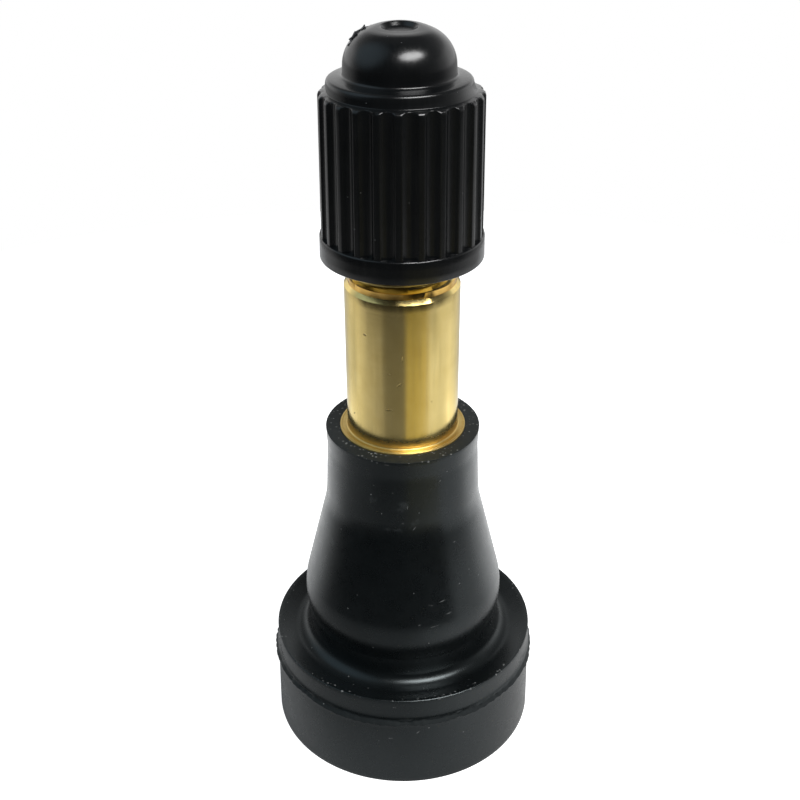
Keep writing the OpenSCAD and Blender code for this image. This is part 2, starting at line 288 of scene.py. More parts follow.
def ranged(tree, value, low, high, first=0.0, second=1.0):
    """A value mapped smoothly from one range to another."""
    inputs = {"Value": value, "From Min": low, "From Max": high, "To Min": first, "To Max": second}
    return node(tree, "MapRange", inputs, interpolation_type="SMOOTHSTEP").outputs[0]


def ramp(tree, value, stops):
    """Colour ramp through (place, grey or colour) stops."""
    made = node(tree, "ValToRGB", {0: value})
    points = made.color_ramp.elements
    while len(points) < len(stops):
        points.new(0.5)
    for point, (place, tone) in zip(points, stops):
        point.position = place
        point.color = (*tone, 1) if isinstance(tone, tuple) else (tone, tone, tone, 1)
    return made.outputs[0]


def noise(tree, place, scale, detail=3.0, rough=0.55):
    """Noise value with features of about 1 / scale metres."""
    inputs = {"Vector": place, "Scale": scale, "Detail": detail, "Roughness": rough}
    return node(tree, "TexNoise", inputs).outputs[0]


def stretched(tree, place, scale):
    """Coordinates with their own scale along each axis."""
    return node(tree, "Mapping", {"Vector": place, "Scale": scale}).outputs[0]


def specks(tree, place, scale, size, rarity):
    """Mask of scattered specks; size is a share of a cell, and rarity hides that share of them."""
    cells = node(tree, "TexVoronoi", {"Vector": place, "Scale": scale})
    dot = ranged(tree, cells.outputs["Distance"], size, size * 0.5)
    kept = maths(tree, "GREATER_THAN",
                 node(tree, "SeparateColor", {0: cells.outputs["Color"]}).outputs[0], rarity)
    return maths(tree, "MULTIPLY", dot, kept)


def height_of(tree, place):
    """Height of a point in mm."""
    return maths(tree, "DIVIDE", node(tree, "SeparateXYZ", {0: place}).outputs[2], MM)


def unrolled(tree, place, radius):
    """Coordinates in mm on a skin unrolled at that radius: along the round, and height."""
    parts = node(tree, "SeparateXYZ", {0: place}).outputs
    angle = maths(tree, "ARCTAN2", parts[1], parts[0])
    around = maths(tree, "MULTIPLY", angle, radius)
    return node(tree, "CombineXYZ", {0: around, 1: height_of(tree, place)}).outputs[0]


def strokes(tree, skin, radius, marks):
    """Mask of short strokes on an unrolled skin; marks are (angle, height, length, width, lean)."""
    total = 0.0
    for angle, height, length, width, lean in marks:
        inputs = {"Vector": skin,
                  "Location": (math.radians(angle) * radius, height, 0),
                  "Rotation": (0, 0, math.radians(lean)),
                  "Scale": (length / 2, width / 2, 1)}
        local = node(tree, "Mapping", inputs, vector_type="TEXTURE").outputs[0]
        away = node(tree, "VectorMath", {0: local}, operation="LENGTH").outputs["Value"]
        total = maths(tree, "MAXIMUM", total, ranged(tree, away, 1.0, 0.4))
    return total


def new_material(name):
    """An empty material with its shader, its node tree and object coordinates."""
    made = bpy.data.materials.new(name)
    made.use_nodes = True
    tree = made.node_tree
    shader = tree.nodes["Principled BSDF"]
    place = node(tree, "TexCoord").outputs["Object"]
    return made, tree, shader, place


def feed(tree, shader, **sockets):
    """Values or outputs for a shader's sockets, named with _ for each space."""
    for key, value in sockets.items():
        socket = shader.inputs[key.replace("_", " ")]
        if isinstance(value, bpy.types.NodeSocket):
            tree.links.new(value, socket)
        else:
            socket.default_value = value


def bumps(tree, height, strength, depth):
    """Normal from a height output; depth in mm."""
    inputs = {"Height": height, "Strength": strength, "Distance": depth * MM}
    return node(tree, "Bump", inputs).outputs[0]


# Materials

NECK_SKIN_R = 6.2
NECK_MARKS = (
    (-101.5, 26.2, 0.5, 0.1, 0), (-111.5, 24.3, 0.16, 0.12, 0), (-97.5, 23.84, 0.14, 0.1, 0),
    (-86.8, 22.64, 0.4, 0.07, 85), (-90.2, 21.28, 0.3, 0.2, 0), (-82.0, 20.83, 0.5, 0.09, 50),
    (-52.2, 19.0, 0.35, 0.09, 0), (-124, 13.8, 0.16, 0.12, 0), (-66.2, 14.8, 0.6, 0.09, 10),
    (-73.5, 14.66, 0.45, 0.09, -15), (-62.8, 13.7, 0.5, 0.1, 5), (-72.5, 12.95, 0.8, 0.07, 8),
    (-81.0, 13.24, 0.2, 0.09, 30), (-56, 25.06, 0.2, 0.12, 0), (-62, 24.45, 0.3, 0.1, 40),
    (-95.5, 4.5, 0.3, 0.12, 10), (-84, 5.1, 0.35, 0.1, 60), (-94, 7.6, 0.2, 0.1, 0),
)
FLOW_MARKS = (
    (-88, 20.9, 2.2, 0.9, 0), (-90, 22.7, 1.6, 1.1, 10), (-80, 21.4, 1.5, 0.7, 25),
    (-101, 20.75, 2.6, 0.3, -4), (-112, 23.2, 1.2, 0.8, 60),
    (40, 21, 2, 0.8, 0), (150, 22, 2.4, 0.9, 15), (-150, 18, 2, 1.0, 0),
)


def rubber_dust(tree, place, skin, edges):
    """Mask of the dust: specks and grit, most of them on the edges, and scuffs on the neck."""
    rarity = maths(tree, "SUBTRACT", 0.975, maths(tree, "MULTIPLY", edges, 0.5))
    scuffs = maths(tree, "MULTIPLY", strokes(tree, skin, NECK_SKIN_R, NECK_MARKS), 0.65)
    dust = maths(tree, "MAXIMUM", specks(tree, place, 2600, 0.18, rarity), scuffs)
    dust = maths(tree, "MULTIPLY", dust, ranged(tree, noise(tree, place, 5200), 0.3, 0.6))
    grit = maths(tree, "MULTIPLY", specks(tree, place, 3300, 0.34, 0.35), edges)
    grit = maths(tree, "MULTIPLY", grit, ranged(tree, noise(tree, place, 260, 2), 0.42, 0.6))
    return maths(tree, "MAXIMUM", grit, dust)


def rubber_roughness(tree, place, height, away, dust):
    """Roughness of the rubber: more on dust, on the torn flash and on the mouth's upper face."""
    top_face = ranged(tree, height, BASE_H - 0.06, BASE_H - 0.01, 0, 0.4)
    torn = maths(tree, "MULTIPLY", maths(tree, "COMPARE", height, PARTING_H + 0.08, 0.3),
                 ranged(tree, away, FLANGE_R + 0.07, FLANGE_R + 0.14, 0, 0.35))
    dusty = maths(tree, "MULTIPLY", dust, 0.3)
    more = maths(tree, "MAXIMUM", dusty, maths(tree, "MAXIMUM", torn, top_face))
    return maths(tree, "ADD", ranged(tree, noise(tree, place, 1100), 0.25, 0.75, 0.26, 0.31), more)


def rubber_material():
    """Moulded black rubber: mottling, a fine grain, dust on the edges, scuffs and flow marks."""
    made, tree, shader, place = new_material("base_rubber")
    skin = unrolled(tree, place, NECK_SKIN_R)
    height = height_of(tree, place)
    level = stretched(tree, place, (1 / MM, 1 / MM, 0))
    away = node(tree, "VectorMath", {0: level}, operation="LENGTH").outputs["Value"]
    mouth = ranged(tree, height, BASE_H - 0.3, BASE_H - 0.05)
    rim = maths(tree, "MULTIPLY", maths(tree, "COMPARE", height, FLANGE_H - 0.02, 0.14),
                maths(tree, "GREATER_THAN", away, FLANGE_R - 0.6))
    dust = rubber_dust(tree, place, skin, maths(tree, "MAXIMUM", mouth, rim))
    flow = maths(tree, "MULTIPLY", strokes(tree, skin, NECK_SKIN_R, FLOW_MARKS),
                 ranged(tree, noise(tree, place, 1500), 0.45, 0.7))
    tone = ramp(tree, noise(tree, place, 420, 4),
                [(0.3, (0.0030, 0.0040, 0.0044)), (0.75, (0.0052, 0.0066, 0.0072))])
    tone = mixed(tree, maths(tree, "MULTIPLY", flow, 0.8), tone, (0.027, 0.030, 0.031, 1))
    tone = mixed(tree, maths(tree, "MULTIPLY", dust, 0.8), tone, (0.22, 0.225, 0.225, 1))
    relief = maths(tree, "ADD", maths(tree, "MULTIPLY", noise(tree, place, 7000, 2), 0.35),
                   maths(tree, "MULTIPLY", dust, 1.4))
    feed(tree, shader, Base_Color=tone, Specular_IOR_Level=0.5,
         Roughness=rubber_roughness(tree, place, height, away, dust),
         Specular_Tint=(0.88, 0.98, 1.0, 1), Normal=bumps(tree, relief, 0.35, 0.02))
    return made


BARREL_NICKS = (
    (-93.2, 31.8, 0.55, 0.13, 40), (-103.5, 29.75, 0.6, 0.12, 5), (-129.2, 35.3, 0.32, 0.2, 0),
    (-148, 28.5, 0.28, 0.12, 30), (-102.5, 32.6, 0.16, 0.1, 0), (-90, 33.85, 0.5, 0.06, 88),
    (-60, 30.2, 0.3, 0.07, 70), (25, 33, 0.5, 0.1, 20), (80, 29.5, 0.35, 0.1, 120),
    (140, 34.6, 0.4, 0.12, 60), (170, 30.4, 0.5, 0.08, 10),
)


def stem_material():
    """Pale turned brass: tool rings, faint vertical wear, nicks, painted shade at its foot and a
    painted orange reflection above the chamfer.
    """
    made, tree, shader, place = new_material("stem_brass")
    skin = unrolled(tree, place, BARREL_R)
    nicks = strokes(tree, skin, BARREL_R, BARREL_NICKS)
    rings = noise(tree, stretched(tree, place, (260, 260, 14000)), 1, 3)
    wear = noise(tree, stretched(tree, place, (2600, 2600, 130)), 1, 3)
    stain = noise(tree, place, 700, 4)
    tone = ramp(tree, stain, [(0.3, (0.83, 0.64, 0.24)), (0.7, (0.90, 0.71, 0.29))])
    tone = mixed(tree, ranged(tree, wear, 0.58, 0.78, 0, 0.25), tone, (0.70, 0.49, 0.16, 1))
    tone = mixed(tree, maths(tree, "MULTIPLY", nicks, 0.45), tone, (0.42, 0.32, 0.16, 1))
    height = height_of(tree, place)
    # Painted shade: a darker brown round the barrel's foot, standing in for the rubber's reflection
    # and the shade where it meets the collar.
    foot = ranged(tree, height, BASE_H + 1.1, BASE_H + 0.25)
    tan = maths(tree, "MULTIPLY", foot, ranged(tree, stain, 0.3, 0.7, 0.2, 0.6))
    tone = mixed(tree, tan, tone, (0.60, 0.38, 0.11, 1))
    # Painted reflection: an orange ring on the relief between the chamfer and the thread, standing
    # in for the brass reflecting itself.
    groove = maths(tree, "COMPARE", height, SHOULDER_Z + 0.5, 0.24)
    tone = mixed(tree, maths(tree, "MULTIPLY", groove, 0.75), tone, (0.86, 0.50, 0.11, 1))
    rough = maths(tree, "ADD", ranged(tree, wear, 0.3, 0.75, 0.17, 0.25),
                  maths(tree, "MULTIPLY", maths(tree, "MAXIMUM", nicks, foot), 0.2))
    relief = maths(tree, "SUBTRACT", maths(tree, "MULTIPLY", rings, 0.10), nicks)
    feed(tree, shader, Base_Color=tone, Metallic=1.0, Roughness=rough,
         Specular_Tint=(0.66, 0.68, 0.72, 1), Normal=bumps(tree, relief, 0.5, 0.02))
    return made


def core_material():
    """Bright turned brass of the core pieces, with tool rings and darker stains."""
    made, tree, shader, place = new_material("core_brass")
    rings = noise(tree, stretched(tree, place, (400, 400, 16000)), 1, 2)
    stain = noise(tree, place, 1500, 4)
    tone = ramp(tree, stain, [(0.3, (0.62, 0.42, 0.17)), (0.7, (0.80, 0.60, 0.30))])
    rough = ranged(tree, stain, 0.3, 0.7, 0.34, 0.2)
    feed(tree, shader, Base_Color=tone, Metallic=1.0, Roughness=rough,
         Normal=bumps(tree, rings, 0.3, 0.01))
    return made


def cap_material():
    """Gloss black moulded plastic: faint ripple, hair scratches and a little dust."""
    made, tree, shader, place = new_material("cap_plastic")
    dust = specks(tree, place, 2300, 0.13, 0.972)
    hair = noise(tree, stretched(tree, place, (5200, 5200, 300)), 1, 2)
    ripple = noise(tree, place, 900, 2)
    tone = ramp(tree, noise(tree, place, 600, 3),
                [(0.3, (0.0036, 0.0042, 0.0047)), (0.75, (0.0052, 0.006, 0.0066))])
    tone = mixed(tree, maths(tree, "MULTIPLY", dust, 0.5), tone, (0.09, 0.093, 0.095, 1))
    rough = maths(tree, "ADD", ranged(tree, hair, 0.35, 0.8, 0.22, 0.27),
                  maths(tree, "MULTIPLY", dust, 0.3))
    relief = maths(tree, "ADD", maths(tree, "MULTIPLY", ripple, 0.8),
                   maths(tree, "MULTIPLY", dust, 0.6))
    feed(tree, shader, Base_Color=tone, Roughness=rough, Specular_IOR_Level=0.5,
         Normal=bumps(tree, relief, 0.25, 0.02))
    return made


def torn_plastic_material():
    """The cap's plastic where it was torn: paler and rougher, with a fine grain."""
    made, tree, shader, place = new_material("torn_plastic")
    grain = noise(tree, place, 4200, 3)
    tone = ramp(tree, grain, [(0.3, (0.022, 0.024, 0.026)), (0.75, (0.075, 0.079, 0.082))])
    feed(tree, shader, Base_Color=tone, Roughness=ranged(tree, grain, 0.3, 0.7, 0.34, 0.5),
         Normal=bumps(tree, grain, 0.3, 0.02))
    return made


def seal_rubber_material():
    """Soft matte black rubber of the washers."""
    made, tree, shader, place = new_material("seal_rubber")
    grain = noise(tree, place, 6000, 3)
    tone = ramp(tree, noise(tree, place, 900, 3), [(0.3, (0.010, 0.010, 0.011)),
                                                   (0.75, (0.019, 0.019, 0.020))])
    feed(tree, shader, Base_Color=tone, Roughness=ranged(tree, grain, 0.3, 0.7, 0.55, 0.72),
         Normal=bumps(tree, grain, 0.3, 0.02))
    return made


def seal_ring_material():
    """Smooth red sealing ring with faint clouding."""
    made, tree, shader, place = new_material("seal_ring")
    cloud = noise(tree, place, 1300, 4)
    tone = ramp(tree, cloud, [(0.3, (0.33, 0.035, 0.022)), (0.75, (0.46, 0.065, 0.04))])
    feed(tree, shader, Base_Color=tone, Roughness=ranged(tree, cloud, 0.3, 0.7, 0.34, 0.48),
         Normal=bumps(tree, noise(tree, place, 5000, 2), 0.2, 0.01))
    return made


def spring_material():
    """Drawn spring wire with fine lines along it."""
    made, tree, shader, place = new_material("spring_steel")
    lines = noise(tree, stretched(tree, place, (900, 900, 9000)), 1, 3)
    tone = ramp(tree, lines, [(0.3, (0.46, 0.47, 0.48)), (0.7, (0.66, 0.67, 0.68))])
    feed(tree, shader, Base_Color=tone, Metallic=1.0,
         Roughness=ranged(tree, lines, 0.3, 0.7, 0.36, 0.24), Normal=bumps(tree, lines, 0.25, 0.01))
    return made


# Pieces

def dress(piece, body, slot, material, *nodes):
    """Puts a piece on its body in place of CAD nodes, with its material."""
    piece.data.materials.append(material)
    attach(piece, body)
    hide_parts(*nodes)
    return piece


def rubber_body():
    """The moulding, with ragged flash along its parting line and a slightly uneven skin."""
    collar_r, shank_r, anchor_r = (r + BOND_GAP for r in (COLLAR_R, SHANK_R, ANCHOR_R))
    outside = outline([
        (RECESS_R, 0), (FOOT_R, 0, 0.08), (DRUM_R, 5.80, 0.05), (FLASH_R, 5.95, 0.03),
        (FLASH_R, 6.02, 0.04), (10.43, 6.27, 0.3), (FLANGE_R, 6.56, 0.5),
        (FLANGE_R, FLANGE_H, 0.08), (7.6, FLANGE_H - DISH_DEPTH, 1.0), (GROOVE_R, GROOVE_Z, 0.8),
        (BULB_R, BULB_Z, 6.0), (5.85, NECK_Z, 8.0), (NECK_R, BASE_H - 1.4925, 5.97),
        (MOUTH_R, BASE_H, 0.08), (collar_r, BASE_H)], step=0.1, longest=0.35)
    inside = outline([
        (collar_r, COLLAR_LOW), (shank_r, COLLAR_LOW - COLLAR_R + SHANK_R),
        (shank_r, ANCHOR_TOP + BOND_GAP), (anchor_r, ANCHOR_TOP + BOND_GAP),
        (anchor_r, ANCHOR_LOW - BOND_GAP), (RECESS_R, ANCHOR_LOW - BOND_GAP)], longest=2.0)
    skin = Skin(columns(320))
    skin.add(outside + inside)
    radii, heights = np.array(skin.radii), np.array(skin.heights)
    angles = skin.angles[None, :]
    flash = smooth(radii, DRUM_R - 0.01, DRUM_R + 0.12) * (np.abs(heights - PARTING_H) < 0.3)
    ragged = (-0.06 + 0.06 * ring_noise(angles, 3, range(2, 9))
              + 0.05 * ring_noise(angles, 4, range(14, 40))
              + 0.05 * ring_noise(angles, 5, range(50, 110)))
    wander = (0.06 * ring_noise(angles, 6, range(3, 30))
              + 0.025 * ring_noise(angles, 7, range(40, 90)))
    uneven = 0.010 * skin_noise(angles, heights, 8, 24, 16.0)
    outer = smooth(heights, 0.05, 0.6) * (radii > COLLAR_R + 0.2) * smooth(BASE_H - heights, 0, 0.4)
    skin.radii = radii + flash * ragged + uneven * outer
    skin.heights = heights + flash * wander
    return skin.mesh("rubber_body", closed=True)


# Threads along one pitch, as (share of the pitch, share of the depth)
STEM_FORM = ((0.0, 0.0), (0.0625, 0.0), (0.25, 0.5), (0.4375, 1.0), (0.5625, 1.0), (0.75, 0.5),
             (0.9375, 0.0))
RIDGE_FORM = ((0.0, 0.0), (0.06, 0.0), (0.25, 0.5), (0.425, 1.0), (0.575, 1.0), (0.75, 0.5),
              (0.94, 0.0))
CORE_FORM = ((0.0, 0.0), (0.08, 0.0), (0.42, 1.0), (0.58, 1.0), (0.92, 0.0))


def stem_outside():
    """Rows of the stem's outside below the thread, with the chamfer's uneven edge."""
    skin = Skin(columns(192))
    skin.add(outline([
        (ANCHOR_R, ANCHOR_LOW), (ANCHOR_R, ANCHOR_TOP), (SHANK_R, ANCHOR_TOP),
        (SHANK_R, COLLAR_LOW - COLLAR_R + SHANK_R), (COLLAR_R, COLLAR_LOW),
        (COLLAR_R, COLLAR_TOP, 0.05), (4.54, COLLAR_TOP), (4.52, COLLAR_TOP - 0.03),
        (4.48, COLLAR_TOP - 0.03), (4.46, COLLAR_TOP), (BARREL_R, COLLAR_TOP - 0.04, 0.14),
        (BARREL_R, SHOULDER_Z, 0.015), (BARREL_R - CHAMFER, SHOULDER_Z + CHAMFER, 0.015),
        (THREAD_R - 0.035, THREAD_LOW)], step=0.05, longest=0.6))
    uneven = 0.028 * ring_noise(skin.angles, 12, range(7, 26))
    for i, height in enumerate(skin.heights):
        near = np.exp(-((height - SHOULDER_Z - CHAMFER) / 0.2) ** 2)
        skin.radii[i] = skin.radii[i] + near * uneven
    return skin


def brass_stem():
    """The turned stem, with its cap thread, its collar and the thread for the core in its mouth."""
    skin = stem_outside()
    tip_r = THREAD_R - 0.5

    def cut(height, depth):
        depth = depth * THREAD_DEPTH * smooth(height, THREAD_LOW, THREAD_LOW + 0.22)
        start = 0.035 * (1 - smooth(height, THREAD_LOW, THREAD_LOW + 0.4))
        return np.minimum(THREAD_R - start - depth, tip_r + TIP_Z - height)

    skin.thread(THREAD_LOW, TIP_Z, THREAD_PITCH, STEM_FORM, cut)
    core_low, core_high = TIP_Z - 2.0, TIP_Z - 0.35
    skin.add([(CORE_BORE_R + 0.35, TIP_Z), (CORE_BORE_R, core_high)])

    def core_cut(height, depth):
        ends = smooth(height, core_low, core_low + 0.4) * smooth(core_high - height, 0, 0.3)
        return CORE_BORE_R - 0.24 * depth * ends

    skin.thread(core_low, core_high, CORE_PITCH, CORE_FORM, core_cut, down=True)
    skin.add(outline([
        (CORE_BORE_R, 43.18), (2.24, 42.33), (CHAMBER_R, 40.38), (CHAMBER_R, 32.62),
        (PASSAGE_R, 32.33), (PASSAGE_R, ANCHOR_LOW)], longest=3.0))
    return skin.mesh("brass_stem", closed=True)


def flute_columns():
    """Angles round the cap, closer together at the edges of the crests."""
    half = 180 / FLUTES
    crest = math.degrees(CREST_W / 2 / CREST_R)
    edge = half - crest
    one = np.array([-half, -edge - crest * 0.55, -edge - 0.3, -edge + 0.1, -edge + 0.55,
                    -edge + 1.2, -edge * 0.6, -edge * 0.4, -edge * 0.2])
    one = np.concatenate([one, [0], -one[:0:-1]])
    starts = FLUTE_TURN + np.arange(FLUTES) * 2 * half
    return np.radians((starts[:, None] + one).ravel())


def flute_floor(angles, heights):
    """Radius of the flutes' round floor, far out where there is no flute."""
    width = TURN * CREST_R / FLUTES - CREST_W
    size = (width * width / 4 + FLUTE_DEPTH ** 2) / (2 * FLUTE_DEPTH)
    lean = (CREST_R - CREST_TOP_R) / (RIB_TOP_Z - RIB_Z)
    centre = CREST_R - FLUTE_DEPTH + size - lean * (heights - RIB_Z)
    step = TURN / FLUTES
    off = (angles - math.radians(FLUTE_TURN) + step / 2) % step - step / 2
    inside = size ** 2 - (centre * np.sin(off)) ** 2
    return np.where(inside > 0, centre * np.cos(off) - np.sqrt(np.maximum(inside, 0)), 9.0)


def cap_skin():
    """Rows of the cap, from its crown down the outside and up its bore; how many are outside."""
    skin = Skin(flute_columns())
    skin.add(outline([
        (0, DOME_Z - 0.30), (1.0, DOME_Z - 0.29, 0.12), (1.2, DOME_Z - 0.01, 0.12),
        (DOME_R - 0.14, DOME_Z - 0.28, 2.4), (DOME_R, LEDGE_Z + 0.02, 0.2),
        (4.75, LEDGE_Z - 0.12, 0.26), (4.89, RIB_TOP_Z + 0.02, 0.05),
        (CREST_TOP_R, RIB_TOP_Z - 0.05, 0.3), (CREST_R, RIB_Z), (RIM_R - 0.03, RIB_Z - 0.02, 0.2),
        (RIM_R, CAP_Z, 0.07), (CAP_BORE_R + 0.35, CAP_Z), (CAP_BORE_R, CAP_Z + 0.35)],
        step=0.09, longest=0.55))
    outer_rows = len(skin.radii)
    low, high = CAP_Z + 0.45, TIP_Z - 0.3

    def ridge(height, depth):
        ends = smooth(height, low, low + 0.5) * smooth(high - height, 0, 0.5)
        return CAP_BORE_R - 0.42 * depth * ends

    skin.thread(low, high, THREAD_PITCH, RIDGE_FORM, ridge)
    ceiling = TIP_Z + 1.27
    skin.add(outline([(CAP_BORE_R, ceiling), (CAVITY_R, ceiling), (CAVITY_R, CAVITY_Z, 1.2),
                      (0, CAVITY_Z)]))
    return skin, outer_rows


def gate_mark(radii, angles):
    """Heights added on the crown: the slant of the trimmed dimple, and the nub in it."""
    slant = 0.07 * radii * np.sin(angles) * (1 - smooth(radii, 1.3, 2.3))
    nub = np.hypot(radii * np.cos(angles) + 0.26, radii * np.sin(angles) - 0.05)
    return slant + (radii < 1.0) * 0.2 * (1 - smooth(nub, 0.05, 0.2))


def fluted_cap():
    """The screw cap: rim band, flutes, two ledges, a dome with its gate mark, and its thread."""
    skin, outer_rows = cap_skin()
    radii, heights = np.array(skin.radii), np.array(skin.heights)
    angles = skin.angles[None, :]
    outside = (np.arange(len(radii)) < outer_rows)[:, None]
    ribbed = outside & (radii > 4.95) & (radii < CREST_R + 0.001) & (heights > RIB_Z - 0.021)
    soft = 0.03
    cut = -soft * np.logaddexp(-radii / soft, -flute_floor(angles, heights) / soft)
    burr = np.maximum(ring_noise(angles, 11, range(20, 60)) - 0.35, 0)
    at_top = ribbed & (heights > RIB_TOP_Z - 0.15) & (radii > CREST_TOP_R - 0.16)
    crown_off = -0.12 * np.cos(angles) * smooth(heights, RIB_TOP_Z + 0.02, RIB_TOP_Z + 0.4)
    crown_off = crown_off * outside * smooth(radii, 0.0, 0.5)
    skin.radii = np.where(ribbed, cut, radii) + at_top * burr * 0.12 + crown_off
    skin.heights = heights + at_top * burr * 0.1 + outside * gate_mark(radii, angles)
    return skin.mesh("fluted_cap", closed=False, sharp=38)


def tube_faces(count, rim):
    """Quads between the rings of a tube, with rim points round each of its rings."""
    return [(rim * i + s, rim * i + (s + 1) % rim,
             rim * (i + 1) + (s + 1) % rim, rim * (i + 1) + s)
            for i in range(count - 1) for s in range(rim)]


def flap_rings(root, lean, front, stand, curl):
    """Points round a thin flap that stands on root and curls to the front, row by row."""
    shares, thick = (-0.3, 0.3, 0.65, 1.0), (0.09, 0.06, 0.05, 0.035)
    near, far = [], []
    for up, half in zip(shares, thick):
        middle = root + lean * stand * up + front * curl * max(up, 0) ** 2
        off = front * stand - lean * 2 * curl * max(up, 0)
        off = off / np.linalg.norm(off, axis=1)[:, None] * half
        near.append(middle + off)
        far.append(middle - off)
    return np.stack(near + far[::-1], 1)


def dome_burr():
    """Torn flash on the left of the dome: a wavy flap that stands up and curls to the front."""
    count, centre_r, centre_z, size = 48, 1.28, DOME_Z - 2.62, 2.4
    share = np.linspace(0, 1, count)
    along = share * TURN * 0.9
    tilt = np.radians(36 + 39 * share)
    turn = np.radians(187 - 44 * share ** 1.6) + 0.04 * ring_noise(along, 21, range(3, 9))
    lean = np.stack([np.cos(tilt) * np.cos(turn), np.cos(tilt) * np.sin(turn), np.sin(tilt)], -1)
    root = lean * size + np.stack([centre_r * np.cos(turn) - 0.12, centre_r * np.sin(turn),
                                   np.full(count, centre_z)], -1)
    path = np.gradient(root, axis=0)
    front = np.cross(lean, path / np.linalg.norm(path, axis=1)[:, None])
    front = front * -np.sign(front[:, 1:2])
    ends = np.sin(np.pi * np.clip(share, 0.02, 0.98))[:, None] ** 0.4
    stand = ends * (0.27 + 0.10 * ring_noise(along, 22, range(2, 8))[:, None])
    curl = ends * (0.24 + 0.14 * ring_noise(along, 23, range(2, 7))[:, None])
    rings = flap_rings(root, lean, front, stand, curl)
    points, faces = rings.reshape(-1, 3), tube_faces(count, rings.shape[1])
    made = mesh_object("dome_burr", points, faces, 50)
    work = bmesh.new()
    work.from_mesh(made.data)
    bmesh.ops.holes_fill(work, edges=[e for e in work.edges if e.is_boundary])
    bmesh.ops.recalc_face_normals(work, faces=work.faces)
    work.to_mesh(made.data)
    work.free()
    return made


def coil_spring():
    """The core's spring, with one closed turn at each end."""
    turns, steps, sides = 9, 28, 12
    coil_r, closed = 0.87, 0.38
    turn = np.linspace(0, turns, turns * steps + 1)
    length = SPRING_HIGH - SPRING_LOW
    rise = np.interp(turn, [0, 1, turns - 1, turns], [0, closed, length - closed, length])
    around = np.arange(sides) * TURN / sides
    reach = coil_r + SPRING_WIRE_R * np.cos(around)[None, :]
    angle = turn[:, None] * TURN
    wire_z = SPRING_LOW + rise[:, None] + SPRING_WIRE_R * np.sin(around)[None, :]
    points = np.stack([reach * np.cos(angle), reach * np.sin(angle), wire_z], -1)
    faces = [list(face) for face in tube_faces(len(turn), sides)]
    ends = [list(range(sides - 1, -1, -1)), [(len(turn) - 1) * sides + s for s in range(sides)]]
    mesh = bpy.data.meshes.new("coil_spring")
    mesh.from_pydata((points.reshape(-1, 3) * MM).tolist(), [], faces + ends)
    mesh.shade_smooth()
    mesh.set_sharp_from_angle(angle=math.radians(40))
    made = bpy.data.objects.new("coil_spring", mesh)
    bpy.context.scene.collection.objects.link(made)
    return made


def finish_node(name, material):
    """A CAD node that stays: its material, and edges broken by a small bevel."""
    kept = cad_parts[name]
    kept.data.materials.clear()
    kept.data.materials.append(material)
    weld = kept.modifiers.new("weld", "WELD")
    weld.merge_threshold = 0.002 * MM
    bevel = kept.modifiers.new("bevel", "BEVEL")
    bevel.width = 0.04 * MM
    bevel.segments = 2
    bevel.limit_method = "ANGLE"
    bevel.angle_limit = math.radians(40)


core_brass, seal_rubber = core_material(), seal_rubber_material()
dress(rubber_body(), "valve", "base_rubber", rubber_material(), "rubber_base")
dress(brass_stem(), "valve", "stem_brass", stem_material(), "stem")
dress(fluted_cap(), "cap", "cap_plastic", cap_material(), "dust_cap")
burr = dome_burr()
burr.data.materials.append(torn_plastic_material())
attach(burr, "cap")
spring = dress(coil_spring(), "valve", "spring_steel", spring_material(), "core_spring")
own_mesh(spring)
for name in ("core_plug", "core_barrel", "core_pin", "spring_collar", "pin_cup"):
    finish_node(name, core_brass)
for name in ("cup_washer", "cap_seal"):
    finish_node(name, seal_rubber)
finish_node("core_seal", seal_ring_material())


# Floor, light and camera

def at(azimuth):
    """Place on a ramp of headings of a direction, in degrees to the right of the front."""
    return 0.5 + azimuth / 360


def heading(tree, parts):
    """Heading of a point or direction from its coordinates, as a place on such a ramp."""
    azimuth = maths(tree, "ARCTAN2", parts[0], maths(tree, "MULTIPLY", parts[1], -1.0))
    return maths(tree, "ADD", maths(tree, "DIVIDE", azimuth, TURN), 0.5)


def floor_material():
    """White paper with a painted shadow in front and on the left, and a painted glow behind the
    valve.
    """
    made = bpy.data.materials.new("floor")
    made.use_nodes = True
    tree = made.node_tree
    place = node(tree, "TexCoord").outputs["Object"]
    parts = node(tree, "SeparateXYZ", {0: place}).outputs
    # Painted shadow: the paper's colour darkens in front and on the left, more so away from the
    # valve.
    sides = ramp(tree, heading(tree, parts), [
        (0.0, 0.0), (at(-128), 0.0), (at(-105), 0.9), (at(-55), 1.0), (at(2), 0.9), (at(40), 0.0),
        (1.0, 0.0)])
    away = node(tree, "VectorMath", {0: place}, operation="LENGTH").outputs["Value"]
    dim = maths(tree, "MULTIPLY", sides, ranged(tree, away, 0.0105, 0.021, 0.2, 0.7))
    tone = mixed(tree, dim, (0.84, 0.84, 0.84, 1), (0.1, 0.1, 0.1, 1))
    paper = node(tree, "BsdfDiffuse", {"Color": tone}).outputs[0]
    # Painted glow: emission on the paper behind the valve, seen in reflections. Camera rays see the
    # paper plain white.
    through = maths(tree, "MULTIPLY", ranged(tree, parts[1], -0.004, 0.016),
                    maths(tree, "SUBTRACT", ranged(tree, away, 0.016, 0.032, 0.0, 0.8),
                          ranged(tree, away, 0.048, 0.062, 0.0, 0.6)))
    seen = node(tree, "LightPath").outputs["Is Camera Ray"]
    glow = node(tree, "Emission", {"Strength": maths(tree, "MAXIMUM", through, seen)}).outputs[0]
    shader = node(tree, "AddShader", {0: paper, 1: glow}).outputs[0]
    tree.links.new(shader, tree.nodes["Material Output"].inputs["Surface"])
    return made


